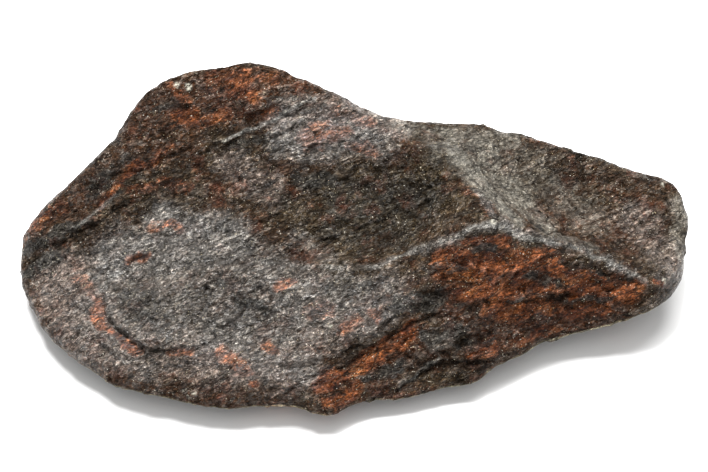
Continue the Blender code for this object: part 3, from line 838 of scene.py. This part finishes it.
def marked(g, p, colour):
    """Red stains, dark lenses and scratches over the crusts, with painted shade in hollows, painted
    highlights on raised flakes and lips, and painted floor glow on the low rim.
    """
    stain = g.ramp(g.noise(p.at, 0.34, 6.0, 0.7), 0.52, 0.70, 0.0, 0.65)
    bare = g.math("SUBTRACT", 1.0, g.math("ADD", g.attribute("silver_and_sheen"), g.attribute("dust")), True)
    stain = g.math("MULTIPLY", stain, g.ramp(bare, 0.0, 1.0, 0.25, 1.0))
    colour = g.mix(stain, colour, RED_STAIN)
    lens = g.ramp(p.streaks, 0.40, 0.33, 0.0, 0.65)
    kept = g.math("MAXIMUM", g.attribute("rust"), g.attribute("dust"))
    lens = g.math("MULTIPLY", lens, g.math("SUBTRACT", 1.0, g.math("MULTIPLY", kept, 0.8)))
    colour = g.mix(lens, colour, DARK_LENS)
    scratched = g.math("MULTIPLY", g.ramp(p.dashes, 0.47, 0.38, 0.0, 0.7), g.attribute("dust"))
    colour = g.mix(scratched, colour, SCRATCH)
    # Raised flakes painted paler: a painted highlight
    colour = g.mix(g.math("MULTIPLY", g.attribute("proud"), 0.25), colour, PROUD_HIGHLIGHT)
    # Hollows painted darker: painted shade
    colour = g.mix(g.math("MULTIPLY", g.attribute("hollow"), 0.65), colour, HOLLOW_SHADE)
    # Lips painted pale along worn edges and ridge crests: a painted highlight
    worn = g.math("MULTIPLY", g.attribute("lip"), g.ramp(p.fine, 0.35, 0.60, 0.35, 0.85))
    colour = g.mix(worn, colour, WORN_LIP_HIGHLIGHT)
    # Painted bounce light from the floor along the low front rim
    floor_glow = g.math("MULTIPLY", g.attribute("rim"), g.ramp(p.fine, 0.38, 0.60, 0.35, 1.0))
    return g.mix(floor_glow, colour, FLOOR_GLOW_ON_RIM)


def flake_cracks(g, p):
    """Thin dark cracks between the flakes: how much of one shows at each place."""
    edges = g.add("ShaderNodeTexVoronoi", {"Vector": p.flakes, "Scale": 1.0}, feature="DISTANCE_TO_EDGE")
    wander = g.math("MULTIPLY", g.math("SUBTRACT", p.wisp, 0.5), 0.30)
    wandering = g.math("ADD", edges.outputs["Distance"], wander)
    crack = g.ramp(g.math("ABSOLUTE", wandering), 0.0, 0.050, 1.0, 0.0)
    return g.math("MULTIPLY", crack, g.ramp(p.cloud, 0.38, 0.54, 0.0, 0.9))


def fine_lines(g, p):
    """Fine wrinkles and strokes: dark lines, painted shade in the creases, and pale ones, a painted
    highlight where an edge catches the light.
    """
    dark = g.math("MAXIMUM", g.line(p.wrinkle, 0.500, 0.016), g.line(p.small_wrinkle, 0.500, 0.018))
    dark = g.math("MULTIPLY", dark, g.math("MULTIPLY", p.calm, g.ramp(p.wisp, 0.38, 0.62, 0.1, 0.8)))
    dark_stroke = g.math("MULTIPLY", g.ramp(p.strokes, 0.44, 0.35, 0.0, 0.85), p.calm)
    dark = g.math("MAXIMUM", dark, dark_stroke)
    pale = g.math("MAXIMUM", g.line(p.wrinkle, 0.540, 0.016), g.line(p.small_wrinkle, 0.550, 0.022))
    pale = g.math("MULTIPLY", pale, g.ramp(p.fine, 0.40, 0.62, 0.05, 0.75))
    pale_stroke = g.math("MULTIPLY", g.ramp(p.strokes, 0.56, 0.64, 0.0, 0.85), p.calm)
    pale = g.math("MAXIMUM", pale, pale_stroke)
    bright_crust = g.math("ADD", g.attribute("silver_and_sheen"), g.attribute("plum"))
    return dark, g.math("MULTIPLY", pale, g.ramp(bright_crust, 0.0, 0.6, 0.55, 1.0))


def grain_shade(g, p):
    """How much lighter or darker each grain and flake is than the crust that it lies in."""
    shade = g.ramp(g.math("POWER", p.grain, 2.6), 0.0, 1.0, 0.58, 1.80)
    shade = g.math("MULTIPLY", shade, g.ramp(p.coarse, 0.0, 1.0, 0.82, 1.18))
    shade = g.math("MULTIPLY", shade, g.ramp(g.attribute("tone"), 0.1, 0.9, 0.62, 1.30))
    seam = g.math("MULTIPLY", g.attribute("seam"), g.ramp(p.wisp, 0.42, 0.60, 0.05, 0.55))
    seam = g.math("MULTIPLY", seam, p.calm)
    shade = g.math("MULTIPLY", shade, g.math("SUBTRACT", 1.0, seam))
    shade = g.math("MULTIPLY", shade, g.ramp(p.wisp, 0.35, 0.65, 0.68, 1.34))
    return g.add("ShaderNodeCombineColor", {0: shade, 1: shade, 2: shade}).outputs[0]


def with_glints(g, p, colour):
    """Fine glints of bare metal, and the single pale specks, over the crusts."""
    clusters = g.math("ADD", g.math("MULTIPLY", p.wisp, 0.22), g.math("MULTIPLY", p.cloud, 0.30))
    sparks = g.math("ADD", g.noise(p.at, 6.0, 1.0, 0.5), clusters)
    bright = g.ramp(sparks, 0.975, 1.02, 0.0, 0.90)
    colour = g.mix(bright, colour, g.mix(p.grain, *COLOURS["glint"]))
    speck = g.math("MULTIPLY", g.attribute("speck"), g.ramp(p.fine, 0.42, 0.54))
    return g.mix(speck, colour, PALE_SPECK)


def set_shine(g, p):
    """Metal shows most where the crust is silvery, and rust and dust are the roughest crusts."""
    metal = g.math("ADD", g.math("MULTIPLY", g.attribute("silver_and_sheen"), 0.30), 0.05)
    metal = g.math("SUBTRACT", metal, g.math("MULTIPLY", g.attribute("rust"), 0.20), True)
    g.put(metal, g.shader.inputs["Metallic"])
    rough = g.ramp(p.gloss, 0.0, 1.0, 0.16, 0.42)
    rough = g.math("ADD", rough, g.math("MULTIPLY", g.attribute("rust"), 0.20), True)
    rough = g.math("ADD", rough, g.math("MULTIPLY", g.attribute("dust"), 0.15), True)
    g.put(rough, g.shader.inputs["Roughness"])
    shine = g.math("ADD", g.math("MULTIPLY", g.attribute("silver_and_sheen"), 0.60), 0.08)
    shine = g.math("ADD", shine, g.math("MULTIPLY", g.attribute("plum"), 0.26))
    shine = g.math("ADD", shine, g.math("MULTIPLY", g.attribute("dust"), 0.10))
    shine = g.math("MULTIPLY", shine, g.ramp(p.coarse, 0.0, 1.0, 0.3, 1.8))
    g.put(shine, g.shader.inputs["Specular IOR Level"])


def set_bumps(g, p, crack, shade_line):
    """The finest relief: leaning faces of three sizes, roughness, creases and the fine lines."""
    bumps = g.math("MULTIPLY", g.facets(p.layered, 1.1), 6.0)
    bumps = g.math("ADD", bumps, g.math("MULTIPLY", g.facets(p.layered, 2.7), 6.5))
    bumps = g.math("ADD", bumps, g.math("MULTIPLY", g.facets(p.layered, 6.0), 6.0))
    bumps = g.math("ADD", bumps, g.math("MULTIPLY", p.fine, 2.0))
    bumps = g.math("ADD", bumps, g.math("MULTIPLY", p.strokes, 2.0))
    for wave, height in ((p.wrinkle, 9.0), (p.small_wrinkle, 4.5)):
        crease = g.math("ABSOLUTE", g.math("SUBTRACT", wave, 0.5))
        bumps = g.math("ADD", bumps, g.math("MULTIPLY", g.math("MULTIPLY", crease, p.calm), height))
    bumps = g.math("SUBTRACT", bumps, g.math("MULTIPLY", crack, 1.2))
    bumps = g.math("SUBTRACT", bumps, g.math("MULTIPLY", shade_line, 1.0))
    bump = g.add("ShaderNodeBump", {"Strength": 1.0, "Distance": BUMP_UNIT * MM, "Height": bumps})
    g.put(bump.outputs["Normal"], g.shader.inputs["Normal"])


def crust_material():
    """The oxide crust: dark iron with silvery, rusty, dusty and brown parts, all of fine grain, with painted
    sheen, highlights and shade.
    """
    material = bpy.data.materials.new("weathered_iron")
    material.use_nodes = True
    g = Graph(material)
    p = patterns(g)
    crack = flake_cracks(g, p)
    shade_line, highlight_line = fine_lines(g, p)
    colour = marked(g, p, crust_colours(g, p))
    # Dark cracks, then the dark lines: painted shade in the creases
    colour = g.mix(crack, colour, CRACK_AND_SHADE)
    colour = g.mix(shade_line, colour, CRACK_AND_SHADE)
    colour = g.mix(1.0, colour, grain_shade(g, p), "MULTIPLY")
    # Pale lines: a painted highlight where an edge catches the light
    pale = g.mix(1.0, colour, HIGHLIGHT_LINE_GAIN, "MULTIPLY")
    pale = g.mix(1.0, pale, HIGHLIGHT_LINE_GLOW, "ADD")
    colour = g.mix(highlight_line, colour, pale)
    g.put(with_glints(g, p, colour), g.shader.inputs["Base Color"])
    set_shine(g, p)
    set_bumps(g, p, crack, shade_line)
    return material


def pale_floor():
    """A wide sheet of pale paper, which belongs to the stage."""
    bpy.ops.mesh.primitive_plane_add(size=FLOOR_SIDE, location=(0.0, 0.0, 0.0))
    floor = bpy.context.object
    floor.name = "floor"
    paper = bpy.data.materials.new("floor_paper")
    paper.use_nodes = True
    shader = paper.node_tree.nodes["Principled BSDF"]
    shader.inputs["Base Color"].default_value = FLOOR_PAPER
    shader.inputs["Roughness"].default_value = 0.8
    floor.data.materials.append(paper)


def studio(target):
    """A pale surround, and soft lights from behind and above."""
    for name, place, size, power in SOFTBOXES:
        lamp = bpy.data.lights.new(name, "AREA")
        lamp.shape = "DISK"
        lamp.size = size
        lamp.energy = power
        softbox = bpy.data.objects.new(name, lamp)
        bpy.context.scene.collection.objects.link(softbox)
        softbox.location = place
        softbox.rotation_euler = (softbox.location - target).to_track_quat("Z", "Y").to_euler()

    world = bpy.data.worlds.new("studio")
    bpy.context.scene.world = world
    world.use_nodes = True
    world.node_tree.nodes["Background"].inputs["Color"].default_value = (1, 1, 1, 1)
    world.node_tree.nodes["Background"].inputs["Strength"].default_value = SURROUND
    bpy.context.scene.view_settings.view_transform = "Standard"


def camera(target):
    """A long lens looking down on the stone's front at the photograph's angle."""
    elevation = math.radians(CAMERA_ELEVATION)
    distance = CAMERA_DISTANCE * MM
    data = bpy.data.cameras.new("camera")
    data.lens = CAMERA_LENS
    data.sensor_width = CAMERA_FILM
    data.clip_start = 0.01
    view = bpy.data.objects.new("camera", data)
    bpy.context.scene.collection.objects.link(view)
    back = Vector((0.0, -math.cos(elevation), math.sin(elevation)))
    view.location = target + distance * back
    view.rotation_euler = back.to_track_quat("Z", "Y").to_euler()
    bpy.context.scene.camera = view


def build():
    """The meteorite's skin, with the floor, the lights and the camera."""
    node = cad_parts["meteorite"]
    skin = skin_of(node)
    shape_skin(skin)
    skin.data.materials.clear()
    skin.data.materials.append(crust_material())
    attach(skin, "root")
    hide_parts("meteorite")
    target = Vector(CAMERA_TARGET) * MM
    pale_floor()
    studio(target)
    camera(target)


build()
